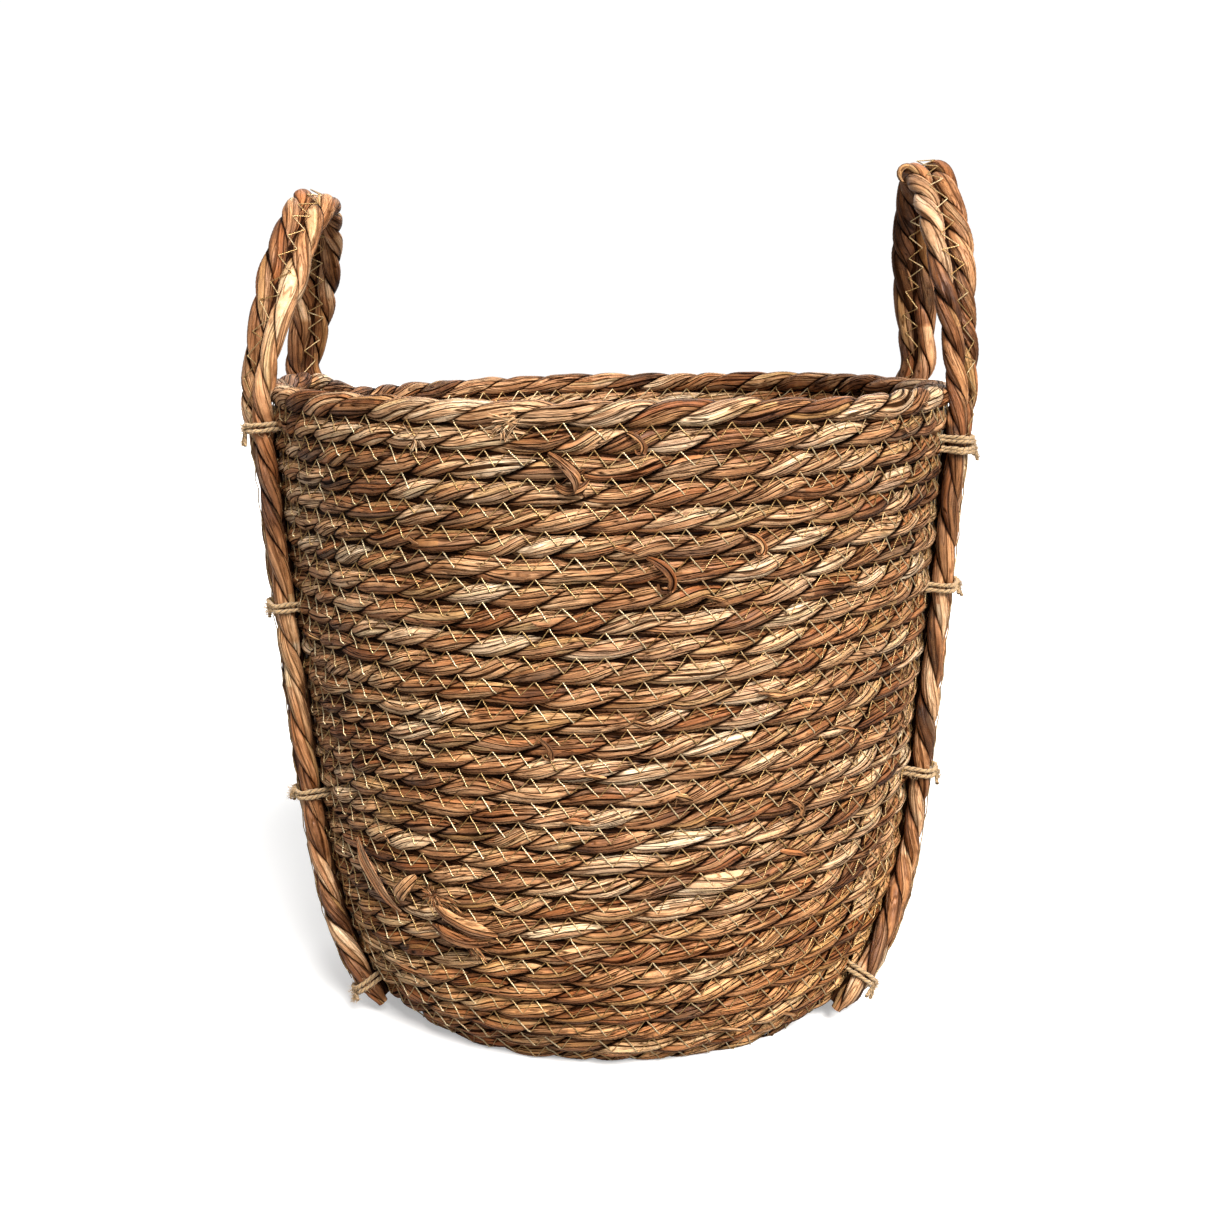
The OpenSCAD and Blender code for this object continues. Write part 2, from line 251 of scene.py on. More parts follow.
def seagrass(name, shift=0.0, edge_dark=0.07, fold=0.14, thin_fold=0.34, contrast=1.0):
    """Dry seagrass leaves.

    leaf = (strip number, distance along in cm, strand), look = (tone, openness, warmth).
    Openness below 1 darkens the colour: a painted shade in a ply's creases. The fold values and
    edge_dark are how bright the painted shade is at the bottom of a leaf's crease and at a leaf's edge.
    """
    m, t = new_material(name)
    w, s, strand, tone, crease_shade, warmth = leaf_coords(t)
    wavy = cloud(t, times(t, s, 0.16), times(t, w, 0.75), strand, 1.0)
    w = calc(t, "ADD", w, times(t, calc(t, "SUBTRACT", wavy, 0.5), 1.7))
    idx = calc(t, "FLOOR", w)
    fr = calc(t, "FRACT", w)
    length = calc(t, "FLOOR", calc(t, "ADD", times(t, s, 0.085), times(t, idx, 0.37)))
    rnd = node(t, "TexWhiteNoise", {"Vector": xyz(t, idx, length, strand)}, noise_dimensions="3D")
    pick = node(t, "SeparateColor", {0: rnd.outputs["Color"]})

    def streak(along, across, offset, detail, rough=0.5):
        """Noise drawn out along the leaf."""
        own = calc(t, "ADD", strand, offset)
        return cloud(t, times(t, s, along), times(t, w, across), own, detail, rough)

    def line(n, width, depth):
        """Thin dark lines where noise n crosses a half."""
        return step(t, calc(t, "ABSOLUTE", calc(t, "SUBTRACT", n, 0.5)), 0.0, width, depth, 1.0)

    def add_swing(total, n, amount):
        return calc(t, "ADD", total, times(t, calc(t, "SUBTRACT", n, 0.5), amount))

    fine = streak(0.9, 3.6, 0.0, 3.0, 0.7)
    wrinkle = streak(0.30, 1.9, 11.0, 1.0)
    thin = streak(0.50, 4.2, 23.0, 1.0)
    band = streak(0.45, 1.1, 31.0, 2.0)
    patch = streak(2.4, 2.2, 77.0, 4.0, 0.7)
    total = calc(t, "ADD", times(t, tone, 0.72), times(t, rnd.outputs["Value"], 0.36))
    total = add_swing(total, band, 0.62)
    total = add_swing(total, patch, 0.45)
    total = calc(t, "ADD", total, shift, clamp=True)
    colour = ramp(t, total, STRAW)
    # some leaves are red brown, some grey brown, some golden
    colour = mix(t, step(t, pick.outputs[1], 0.58, 0.95, 0.0, 0.65), colour, (0.34, 0.105, 0.026, 1.0))
    colour = mix(t, step(t, pick.outputs[2], 0.70, 0.95, 0.0, 0.45), colour, (0.25, 0.160, 0.095, 1.0))
    colour = mix(t, step(t, pick.outputs[0], 0.82, 0.98, 0.0, 0.40), colour, (0.46, 0.300, 0.095, 1.0))
    colour = mix(t, warmth, colour, mix(t, 1.0, colour, (1.0, 0.88, 0.70, 1.0), "MULTIPLY"))
    # painted shade: the leaves' borders and the lines along their wrinkles are darkened, standing for the
    # shade in their creases
    edge = calc(t, "MINIMUM", fr, calc(t, "SUBTRACT", 1.0, fr))
    border = step(t, edge, 0.03, 0.15, edge_dark, 1.0)
    lines = times(t, border, line(wrinkle, 0.030, fold), line(thin, 0.034, thin_fold))
    fibre = step(t, fine, 0.30, 0.70, 1.0 - 0.34 * contrast, 1.0 + 0.38 * contrast)
    spots = step(t, patch, 0.66, 0.76, 1.0, 0.5)
    # the rope's crease shade darkens the colour too, a painted shade; spots and fibre are the leaves' own
    # marks
    shade = times(t, times(t, lines, spots), times(t, fibre, step(t, crease_shade, 0.0, 1.0, 0.015, 1.0)))
    # the darker, the redder
    tint = rgb(t, *(calc(t, "POWER", shade, power) for power in (1.1, 1.24, 1.38)))
    colour = mix(t, 1.0, colour, tint, "MULTIPLY")
    rough = step(t, fine, 0.25, 0.75, 0.62, 0.42)
    height = calc(t, "ADD", times(t, fine, 0.35), times(t, lines, 0.65))
    gloss = calc(t, "MULTIPLY", times(t, lines, crease_shade), 0.32, clamp=True)
    surface(t, colour, rough, height, 0.0013, **{"Specular IOR Level": gloss})
    return m


def thread_material():
    """Glossy golden sewing thread of two twisted filaments."""
    m, t = new_material("golden_thread")
    w, s, strand, tone, _, _ = leaf_coords(t)
    # painted shade: the colour darkens in the groove between the two twisted filaments, which is also the
    # bump
    turn = calc(t, "FRACT", calc(t, "ADD", times(t, s, 9.0), w))
    groove = step(t, calc(t, "ABSOLUTE", calc(t, "SUBTRACT", turn, 0.5)), 0.28, 0.5, 1.0, 0.45)
    # noise along the thread: tone that varies at random, and its palest parts stand for highlights, a
    # painted highlight
    shade = cloud(t, times(t, s, 2.6), 0.0, strand, 2.0)
    mixed = calc(t, "ADD", times(t, shade, 0.5), times(t, tone, 0.5))
    golden = [(0.2, (0.26, 0.13, 0.036)), (0.45, (0.56, 0.36, 0.145)), (0.75, (0.90, 0.74, 0.46))]
    colour = mix(t, 1.0, ramp(t, mixed, golden), rgb(t, groove, groove, groove), "MULTIPLY")
    surface(t, colour, step(t, shade, 0.3, 0.7, 0.30, 0.42), groove, 0.0002, **{"Metallic": 0.8})
    return m


def jute_material():
    """Matt, fuzzy jute twine."""
    m, t = new_material("jute_twine")
    w, s, strand, _, crease_shade, _ = leaf_coords(t)
    fine = cloud(t, times(t, s, 4.0), times(t, w, 9.0), strand, 4.0, 0.7)
    pale = [(0.25, (0.24, 0.125, 0.048)), (0.5, (0.52, 0.325, 0.15)), (0.75, (0.80, 0.58, 0.32))]
    # painted shade: the colour darkens in the creases between the twine's plies
    dark = step(t, crease_shade, 0.1, 1.0, 0.10, 1.0)
    colour = mix(t, 1.0, ramp(t, fine, pale), rgb(t, dark, dark, dark), "MULTIPLY")
    matt = {"Specular IOR Level": 0.25, "Sheen Weight": 0.25, "Sheen Roughness": 0.5}
    surface(t, colour, step(t, fine, 0.3, 0.7, 0.95, 0.8), fine, 0.0004, **matt)
    return m


GRASS = seagrass("seagrass", shift=0.05, fold=0.10, thin_fold=0.52, contrast=0.8)
STRAP_GRASS = seagrass("strap_seagrass", shift=0.03, edge_dark=0.40, fold=0.5, thin_fold=0.7, contrast=0.7)
THREAD = thread_material()
JUTE = jute_material()

# ---------------------------------------------------------------- twisted rope
# the part of a ply that is drawn, either side of its crest; the rest is inside the rope
PLY_ANGLES = np.radians([-104, -95, *range(-85, 84, 12), 94, 102])
# width of a leaf strip
LEAF_W = 2.9


def ply_radius(psi, s, R, seed, p):
    """Distance from the rope's middle to the skin of ply p, at angle psi from its crest."""
    full = 1.0 + 0.035 * noise(s, 38, seed + 23 + p)
    drop = 0.33 + 0.06 * noise(s, 55, seed + 11 + p)
    lap = 0.10 + 0.05 * noise(s, 80, seed + 37)
    x = psi / (np.pi / 2)
    return R * (full - drop * np.abs(x) ** 2.6 - lap * np.sign(x) * np.abs(x) ** 3)


def lens_tone(s, lay, seed, p):
    """A tone of its own, about -1 to 1, for each length of a ply that shows between two creases."""
    turn = twist(s, lay, seed) / (2 * np.pi) + 0.5 * p + 0.5
    return np.sin(np.floor(turn) * 12.9898 + seed * 0.37 + 4.1 * p) * 43758.5453 % 2.0 - 1.0


def leaf_strip(psi, s, seed, p, width):
    """Number of the leaf strip, with its fraction across, at a point of a ply."""
    return (ROW_R * psi + 0.56 * s + 1.6 * noise(s, 90, seed + 51 + p)) / width + 40.0


def twist(s, lay, seed):
    """How far the plies have turned at s; lay is the length of one turn."""
    return 2 * np.pi * (s / lay + 0.10 * noise(s, 230, seed + 5) + 0.045 * noise(s, 78, seed + 6))


def rope_skin(theta, s, R, lay, seed):
    """Radius of the whole rope at angle theta, the larger of its two plies."""
    out = None
    for p in (0, 1):
        psi = (theta - twist(s, lay, seed) - np.pi * p + np.pi) % (2 * np.pi) - np.pi
        r = np.where(np.abs(psi) < 1.75, ply_radius(psi, s, R, seed, p), 0.0)
        out = r if out is None else np.maximum(out, r)
    return out


def rope(
    parts, P, A, s, R, lay, seed,
    press=(1, 1), tone=0.5, warmth=0.0, floor=None, width=LEAF_W, angles=PLY_ANGLES, flat=1.0,
):
    """A two-ply rope along P. A points away from what it lies on, s is the distance along, R the radius.

    press says on which sides, A x T and its opposite, the rope is pressed against a neighbour.
    """
    T = unit(np.gradient(P, axis=0))
    A = unit(A - (A * T).sum(1, keepdims=True) * T)
    U = np.cross(A, T)
    for p in (0, 1):
        psi = angles[None, :] + 0 * s[:, None]
        S, RR = s[:, None], R[:, None]
        theta = psi + twist(S, lay, seed) + np.pi * p
        r = ply_radius(psi, S, RR, seed, p)
        w = leaf_strip(psi, S, seed, p, width)
        sin = np.sin(theta)
        side = np.where(sin > 0, press[0], press[1])
        r = r * (1 - 0.03 * side * sin**6)
        ray = flat * np.cos(theta)[..., None] * A[:, None, :] + sin[..., None] * U[:, None, :]
        X = P[:, None, :] + r[..., None] * ray
        if floor is not None:
            X[..., 2] = np.maximum(X[..., 2], floor)
        x = psi / (np.pi / 2)
        # painted shade: a ply's colour is darkened towards its edges, where it dips into the crease under
        # its neighbour
        ply_crease_shade = (1 - 0.95 * smooth((x - 0.77) / 0.23)) * (1 - 0.90 * smooth((-x - 0.89) / 0.14))
        mottle = 0.34 * noise(S, 170, seed + 71 + p) + 0.34 * lens_tone(S, lay, seed, p)
        shade = np.clip(np.reshape(tone, (-1, 1)) + mottle, 0, 1)
        leaf = np.stack([w, S / 10 + 0 * w, 0 * w + (seed % 97) + 0.5 * p], -1)
        look = np.stack([shade + 0 * w, ply_crease_shade, np.reshape(warmth, (-1, 1)) + 0 * w], -1)
        parts.add(X, grid_faces(*psi.shape), leaf, look)


# ---------------------------------------------------------------- the coil: base, wall and rim in one rope
COIL_R, COIL_LAY, COIL_SEED, COIL_STEP = 6.35, 49.0, 7, 2.5
# rows at which the rope starts, in the middle of the base, and ends, at the back left
T_START, T_END = -10.55, 28.45
END_AZIMUTH = math.radians(147.0)
# the last row that has a row above it to be sewn to
T_SEWN = T_END - 1.02


def coil_rz(t):
    """Radius, height and lean of the outward side at row t; t is negative in the base."""
    t = np.asarray(t, float)
    k = np.arange(len(ROWS))
    r = np.where(t < 0, BASE_R * (1 + t / RINGS), np.interp(t, k, ROWS[:, 0]))
    z = np.interp(t, k, ROWS[:, 1])
    corner = 90 + (lean(0.0) - 90) * smooth(t + 0.5)
    wall = lean(np.maximum(t - 0.5, 0))
    slope = np.where(t < -0.5, 90.0, np.where(t > 0.5, wall, corner))
    return r, z, np.radians(slope)


def coil_azimuth(t):
    return END_AZIMUTH + 2 * np.pi * (T_END - np.asarray(t, float))


def coil_frame(t):
    """Middle of the rope and its outward direction at row t."""
    r, z, slope = coil_rz(t)
    a = coil_azimuth(t)
    P = np.stack([r * np.cos(a), r * np.sin(a), z], -1)
    A = np.stack([np.cos(slope) * np.cos(a), np.cos(slope) * np.sin(a), -np.sin(slope)], -1)
    return P, A


def run_length(P):
    """Distance along the points P, from 0."""
    return np.concatenate([[0], np.cumsum(np.linalg.norm(np.diff(P, axis=0), axis=1))])


# row against distance along the rope, finely
FINE_T = np.linspace(T_START, T_END, 20001)
FINE_S = run_length(coil_frame(FINE_T)[0])
COIL_LENGTH = FINE_S[-1]


def coil_s(t):
    return np.interp(t, FINE_T, FINE_S)


def coil_t(s):
    return np.interp(s, FINE_S, FINE_T)


def coil_radius(s):
    R = COIL_R * (1.0 + 0.045 * noise(s, 90, COIL_SEED + 3) + 0.03 * noise(s, 26, COIL_SEED + 4))
    start = smooth((s + 4) / 12)
    end = 0.30 + 0.70 * smooth((COIL_LENGTH - s) / 34)
    return R * start * end


def coil_wobble(s):
    """How far the rope strays out of its row, outward and along the wall."""
    return 0.35 * noise(s, 85, 101), 0.28 * noise(s, 120, 102)


def coil_path(s):
    """Middle of the rope, its outward direction and its direction along the wall, at distance s."""
    t = coil_t(s)
    P, A = coil_frame(t)
    T = unit(coil_frame(t + 1e-3)[0] - P)
    U = np.cross(A, T)
    out, side = coil_wobble(s)
    # the rope's end tapers down against the row below
    sink = 8.5 * (1 - smooth((COIL_LENGTH - s) / 60))
    return P + out[..., None] * A + (side + sink)[..., None] * U, A, U


def coil_skin(t, theta, lift=0.0):
    """A point on the rope's skin at row t, theta from outward (positive is towards the row below)."""
    s = coil_s(t)
    P, A, U = coil_path(s)
    r = rope_skin(theta, s, coil_radius(s), COIL_LAY, COIL_SEED) * (1 - 0.03 * np.sin(theta) ** 6) + lift
    return P + r[..., None] * (np.cos(theta)[..., None] * A + np.sin(theta)[..., None] * U)


# the six-sided section of a dark core that keeps light out of a groove; its dark colour is painted shade
CORE = np.radians(np.arange(0, 360, 60))
CORE_COS, CORE_SIN = np.cos(CORE)[None, :, None], np.sin(CORE)[None, :, None]


def core_leaf(s):
    return np.stack(np.broadcast_arrays(CORE[None] * 0.6, s[:, None] / 10, 0.0), -1)


def fill(parts, s):
    """A dark core squeezed between a row and the one above it, which keeps light out of the groove; its
    dark colour is painted shade.
    """
    s = s[coil_t(s) < T_SEWN - 0.01]
    if len(s) < 2:
        return
    P = (coil_path(s)[0] + coil_path(coil_s(coil_t(s) + 1))[0]) / 2
    _, A, U = coil_path(s)
    X = P[:, None] + 2.7 * CORE_COS * A[:, None] + 2.0 * CORE_SIN * U[:, None]
    parts.add(X, grid_faces(len(s), len(CORE), wrap=True), core_leaf(s), np.array([0.2, 0.25, 0.0]))


# the CAD coils, and the row at which each of them ends
COIL_NODES = ("base", "corner", "lower_wall", "middle_wall", "upper_wall", "rim")
COIL_ENDS = (0.5, 4.5, 12.5, 20.5, 27.4, 99.0)
# rows at which the rope's mesh is divided, so that no piece is too heavy
COIL_CUTS = (T_START, -5.0, *np.arange(0.5, 23.0, 2.0), 25.0, 27.45, T_END)


def make_coil():
    s_cuts = np.round(coil_s(np.array(COIL_CUTS)) / COIL_STEP).astype(int)
    for k in range(len(COIL_CUTS) - 1):
        s = np.arange(s_cuts[k], s_cuts[k + 1] + 1) * COIL_STEP
        s = np.minimum(s, COIL_LENGTH)
        P, A, _ = coil_path(s)
        parts = Parts()
        t = coil_t(s)
        # the rim is painted darker at the back, a painted shade, and the lower rows are warmer
        tone = 0.50 - 0.20 * smooth((P[:, 1] - 20) / 60) * smooth(t - 26.5)
        warmth = np.clip(smooth((11 - t) / 7) + 0.3 * noise(s, 300, 64), 0, 1)
        rope(parts, P, A, s, coil_radius(s), COIL_LAY, COIL_SEED, tone=tone, warmth=warmth, floor=0.0)
        fill(parts, s)
        kind = COIL_NODES[int(np.searchsorted(COIL_ENDS, COIL_CUTS[k] + 0.1))]
        o = parts.make(f"{kind}_rope_{k:02d}", GRASS)
        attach(o, "basket")
        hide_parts(kind + "_coil")


# ---------------------------------------------------------------- zigzag sewing thread
THREAD_R = 0.33
# from one hole to the next along a row, and along a strap
STITCH, STRAP_STITCH = 6.1, 6.4


def many_tubes(count, stations, sides):
    """Faces of several closed tubes."""
    one = grid_faces(stations, sides, wrap=True)
    return (one[None] + (np.arange(count) * stations * sides)[:, None, None]).reshape(-1, 4)


def many_lengths(X):
    """Distance along each of the lines X, from 0."""
    gaps = np.linalg.norm(np.diff(X, axis=1), axis=2)
    return np.concatenate([np.zeros((len(X), 1)), np.cumsum(gaps, axis=1)], 1)


def tube_sections(parts, X, radius, seed, sides=4, tone=0.5):
    """Tubes along X of shape (tubes, points, 3), all at once."""
    n, m, _ = X.shape
    T = unit(np.gradient(X, axis=1))
    B = unit(np.cross(T, np.array([0.31, 0.22, 0.92])))
    N = np.cross(B, T)
    ang = 2 * np.pi * np.arange(sides) / sides
    rad = radius if np.ndim(radius) else np.full((n, m), radius)
    ray = np.cos(ang)[:, None] * B[:, :, None, :] + np.sin(ang)[:, None] * N[:, :, None, :]
    ring = X[:, :, None, :] + rad[..., None, None] * ray
    rng = np.random.default_rng(seed)
    round_it = (ang / (2 * np.pi))[None, None, :]
    along = many_lengths(X)[:, :, None] / 10 + rng.random((n, 1, 1)) * 50
    leaf = np.stack(np.broadcast_arrays(round_it, along, rng.random((n, 1, 1)) * 9), -1)
    t = tone if np.ndim(tone) == 0 else tone[:, None, None]
    look = np.stack(np.broadcast_arrays(t + 0 * leaf[..., 0], 1.0, 0.0), -1)
    parts.add(ring, many_tubes(n, m, sides)[:, ::-1], leaf, look)


def zigzag(parts, t0, t1, seed, inside):
    """Zigzag thread over the groove between row t and row t + 1, from t0 to t1."""
    rng = np.random.default_rng(seed)
    s0, s1 = float(coil_s(t0)), float(coil_s(t1))
    n = int((s1 - s0) / STITCH)
    s = np.linspace(s0, s1, n + 1) + rng.normal(0, 0.35, n + 1)
    t = np.clip(coil_t(s), T_START + 0.02, T_SEWN)
    up = (np.arange(n + 1) % 2).astype(bool)
    height = rng.normal(0, 3.5, n + 1)
    top = np.radians(43 + height)
    low = np.radians(-9 + height)
    flip = (lambda a: np.pi - a) if inside else (lambda a: a)
    hi = coil_skin(t + 1, flip(top), -0.25)
    lo = coil_skin(t, flip(low), -0.25)
    tip = np.where(up[:, None], hi, lo)
    a, b = tip[:-1], tip[1:]
    f = np.array([0.0, 0.14, 0.5, 0.86, 1.0])
    X = a[:, None] * (1 - f)[None, :, None] + b[:, None] * f[None, :, None]
    # lift the legs clear of the rows they cross
    mid_t = (t[:-1] + t[1:]) / 2
    for row in (0, 1):
        s_row = coil_s(mid_t + row)
        C, A, U = coil_path(s_row)
        rel = X - C[:, None]
        Tn = unit(np.cross(U, A))
        rel = rel - (rel * Tn[:, None]).sum(-1, keepdims=True) * Tn[:, None]
        dist = np.linalg.norm(rel, axis=-1)
        th = np.arctan2((rel * U[:, None]).sum(-1), (rel * A[:, None]).sum(-1))
        skin = rope_skin(th, s_row[:, None] + 0 * th, coil_radius(s_row)[:, None], COIL_LAY, COIL_SEED)
        push = np.maximum(skin + 0.8 * THREAD_R - dist, 0)
        push[:, 0] = push[:, -1] = 0
        X = X + push[..., None] * unit(rel)
    X[..., 2] = np.maximum(X[..., 2], 0.25)
    keep = rng.random(n) > 0.02
    falls = ~up[:-1]
    radius = np.where(falls, 0.35, 0.25)[keep][:, None] * np.ones((1, X.shape[1]))
    # the rising legs' tone is lowered below the falling legs': a painted shade
    tube_sections(parts, X[keep], radius, seed + 1, tone=(rng.uniform(0.35, 1.0, n) - 0.45 * ~falls)[keep])


def make_threads():
    base_runs = [(T_START + 0.1, 0, False), (T_START + 0.1, 0, True)]
    wall_runs = [(a, b, inside) for inside in (False, True) for a, b in ((0, 9), (9, 18), (18, T_SEWN))]
    for k, (a, b, inside) in enumerate(base_runs + wall_runs):
        parts = Parts()
        zigzag(parts, a, b, 300 + 10 * k, inside)
        base = k < len(base_runs)
        name = f"{'base' if base else 'wall'}_thread_{'inside' if inside else 'outside'}_{k}"
        o = parts.make(name, THREAD)
        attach(o, "basket")
        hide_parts("base_stitching" if base else "wall_stitching")


# ---------------------------------------------------------------- handle straps
def strap_rz(t):
    """Radius and height of a strap's middle on the wall at row t, and the slope there."""
    r, z, slope = coil_rz(t)
    return r + STRAP_OFF * np.cos(slope), z - STRAP_OFF * np.sin(slope), slope


STRAP_RIM_R = float(strap_rz(float(RIM_ROW))[0])


def leg_mid(side, end, t):
    """Middle line of a leg at rows t; below SWING_ROWS the leg swings away from the handle's middle."""
    r, z, _ = strap_rz(t)
    a = np.radians(LEGS[side, end] + FOOT_SWING[side] * smooth(1 - t / SWING_ROWS))
    return np.stack([SIDE[side] * np.cos(a) * r, END[end] * np.sin(a) * r, z], -1)


def leg_axes(side, end, t):
    """Out of the wall, away from the handle's middle, and up the leg."""
    _, _, slope = strap_rz(t)
    M = leg_mid(side, end, t)
    drop = -np.sin(slope) * np.hypot(M[..., 0], M[..., 1])
    out = np.stack([np.cos(slope) * M[..., 0], np.cos(slope) * M[..., 1], drop], -1)
    up = unit(leg_mid(side, end, t + 0.1) - leg_mid(side, end, t - 0.1))
    across = SIDE[side] * END[end] * unit(np.cross(up, unit(out)))
    return unit(out), across, up


def leg_points(side, end, t, along, out):
    N, W, _ = leg_axes(side, end, t)
    return leg_mid(side, end, t) + N * np.reshape(out, (-1, 1)) + W * np.reshape(along, (-1, 1))


def bend_x(side):
    """Distance of a handle's bending line from the basket's middle."""
    a = math.radians((LEGS[side, "front"] + LEGS[side, "back"]) / 2)
    return STRAP_RIM_R * math.cos(a) + 1.0


def bend_y(side, end):
    return END[end] * STRAP_RIM_R * math.sin(math.radians(LEGS[side, end]))


# shape of an arch, the height of its feet, and the degrees of arch over which its face turns
ARCH_TAPER, ARCH_FOOT, TWIST_END = 1.25, 10.0, 38.0
# degrees by which a strap's face is turned at the arch's foot and at the rim, and the row where
# it starts to turn
FOOT_TURN, RIM_TURN, TURN_ROW = 46.0, 34.0, 25.2


def arch_points(side, deg, wide, face):
    """Points of an arch, deg from 0 at the front to 180 at the back.

    wide is how far across the strap they are, and face how far out of its face.
    """
    y0 = (bend_y(side, "front") + bend_y(side, "back")) / 2
    half = (bend_y(side, "back") - bend_y(side, "front")) / 2

    def yw(d):
        c = np.cos(np.radians(d))
        w = ARCH_FOOT + (ARCH_H[side] - ARCH_FOOT) * np.sin(np.radians(d))
        return y0 - half * np.sign(c) * np.abs(c) ** ARCH_TAPER, w

    y, w = yw(deg)
    ya, wa = yw(np.maximum(deg - 0.5, 0.01))
    yb, wb = yw(np.minimum(deg + 0.5, 179.99))
    n = unit(np.stack([-(wb - wa), yb - ya], -1))
    k = np.radians(FOOT_TURN + (90 - FOOT_TURN) * smooth(np.minimum(deg, 180 - deg) / TWIST_END))
    q = wide * np.cos(k) + face * np.sin(k)
    x = -SIDE[side] * (wide * np.sin(k) - face * np.cos(k))
    local = np.stack([x, y + n[:, 0] * q, w + n[:, 1] * q], -1)
    tip = SIDE[side] * math.radians(ARCH_LEAN[side])
    out = np.empty_like(local)
    out[:, 0] = SIDE[side] * bend_x(side) + local[:, 0] * math.cos(tip) - local[:, 2] * math.sin(tip)
    out[:, 1] = local[:, 1]
    out[:, 2] = BEND_Z + local[:, 0] * math.sin(tip) + local[:, 2] * math.cos(tip)
    return out


def strap_controls(side, wide, face):
    """Control points of a line on the strap, from the foot of the front leg to the foot of the back leg.

    The strap lies flat on the wall, and starts to turn its face to the front just under the rim.
    """
    t = np.linspace(1.1, RIM_ROW, 27)
    legs = {}
    for end in ("front", "back"):
        turn = np.radians((RIM_TURN - LEGS[side, end]) * smooth((t - TURN_ROW) / (RIM_ROW - TURN_ROW)))
        across = wide * np.cos(turn) + face * np.sin(turn)
        out = face * np.cos(turn) - wide * np.sin(turn) - 0.3
        wall = leg_points(side, end, t, across, out)
        k = math.radians((RIM_TURN + FOOT_TURN) / 2)
        x = SIDE[side] * (bend_x(side) - wide * math.sin(k) + face * math.cos(k))
        y = bend_y(side, end) + END[end] * (wide * math.cos(k) + face * math.sin(k))
        low = [x, y, BEND_Z - 3.0]
        legs[end] = np.vstack([wall, low])
    deg = np.arange(0, 181, 6.0)
    return np.vstack([legs["front"], arch_points(side, deg, wide, face), legs["back"][::-1]])


def spline(C, every):
    """Centripetal Catmull-Rom curve through C.

    Returns points about every so far, the place of each between the points of C, and the distance along.
    """
    C = np.vstack([2 * C[0] - C[1], C, 2 * C[-1] - C[-2]])
    out, where = [], []
    u = np.linspace(0, 1, 12, endpoint=False)
    for i in range(1, len(C) - 2):
        p = C[i - 1 : i + 3]
        gaps = np.maximum(np.linalg.norm(np.diff(p, axis=0), axis=1), 1e-6)
        k = np.concatenate([[0], np.cumsum(gaps ** 0.5)])
        x = (k[1] + u * (k[2] - k[1]))[:, None]
        a1 = (k[1] - x) / (k[1] - k[0]) * p[0] + (x - k[0]) / (k[1] - k[0]) * p[1]
        a2 = (k[2] - x) / (k[2] - k[1]) * p[1] + (x - k[1]) / (k[2] - k[1]) * p[2]
        a3 = (k[3] - x) / (k[3] - k[2]) * p[2] + (x - k[2]) / (k[3] - k[2]) * p[3]
        b1 = (k[2] - x) / (k[2] - k[0]) * a1 + (x - k[0]) / (k[2] - k[0]) * a2
        b2 = (k[3] - x) / (k[3] - k[1]) * a2 + (x - k[1]) / (k[3] - k[1]) * a3
        out.append((k[2] - x) / (k[2] - k[1]) * b1 + (x - k[1]) / (k[2] - k[1]) * b2)
        where.append(i - 1 + u)
    X = np.vstack(out + [C[-2][None]])
    where = np.concatenate(where + [[len(C) - 3.0]])
    d = run_length(X)
    n = max(int(round(d[-1] / every)), 4)
    s = np.linspace(0, d[-1], n + 1)
    return np.stack([np.interp(s, d, X[:, k]) for k in range(3)], -1), np.interp(s, d, where), s


STRAP_LAY, STRAP_FLAT = 45.0, 0.9
# tone of each strap's legs and of its arch
STRAP_TONE = {"left": (0.34, 0.54), "right": (0.34, 0.20)}


def strap_paths(side):
    """Each rope's middle line, the direction of the strap's face, and the distance along."""
    lines = {}
    mid = strap_controls(side, 0, 0)
    front = strap_controls(side, 0, 1.0) - mid
    for which, wide in (("inner", STRAP_HALF), ("outer", -STRAP_HALF)):
        C = strap_controls(side, wide, 0)
        P, where, s = spline(C, 2.5)
        F = unit(np.stack([np.interp(where, np.arange(len(front)), front[:, k]) for k in range(3)], -1))
        lines[which] = (P, F, s)
    return lines


def at_fractions(P, fractions):
    """Points of P at fractions of its length."""
    even = np.linspace(0, 1, len(P))
    return np.stack([np.interp(fractions, even, P[:, k]) for k in range(3)], -1)


def strap_shade_core(parts, inner, outer, F, s):
    """A dark core between the two ropes of a strap, and between the legs and the wall; its dark colour is
    painted shade.
    """
    other = at_fractions(outer, s / s[-1])
    middle, W = (inner + other) / 2, unit(inner - other)
    low = 1 - smooth((inner[:, 2] - (BEND_Z - 25)) / 15)
    core = middle - (3.0 * low)[:, None] * F
    X = core[:, None] + (2.2 + 2.6 * low)[:, None, None] * CORE_COS * F[:, None]
    X = X + 2.0 * CORE_SIN * W[:, None]
    parts.add(X, grid_faces(len(s), len(CORE), wrap=True), core_leaf(s), np.array([0.2, 0.3, 0.0]))


def strap_seam(parts, lines, face, rng, seed):
    """Zigzag thread between the two ropes of a strap, on its front face (1) or its back face (-1)."""
    (inner, F, s), (outer, _, _) = lines["inner"], lines["outer"]
    n = int(s[-1] / STRAP_STITCH)
    holes = np.sort(np.linspace(0.02, 0.98, n + 1) + rng.normal(0, 0.26 / n, n + 1))
    A, B = at_fractions(inner, holes), at_fractions(outer, holes)
    F = unit(at_fractions(F, holes))
    up = (np.arange(n + 1) % 2).astype(bool)
    reach = np.radians(19 + rng.normal(0, 5, n + 1))
    R = STRAP_R * (1.0 + 0.06 * smooth((A[:, 2] - BEND_Z) / 45))
    rise = (face * STRAP_FLAT * R * np.cos(reach) + 0.25 * face)[:, None] * F
    inward = unit(A - B) * (R * np.sin(reach))[:, None]
    tip = np.where(up[:, None], A - inward, B + inward) + rise
    g = np.linspace(0, 1, 5)
    X = tip[:-1, None] * (1 - g)[None, :, None] + tip[1:, None] * g[None, :, None]
    tube_sections(parts, X, THREAD_R, seed, tone=rng.uniform(0.1, 0.75, n))


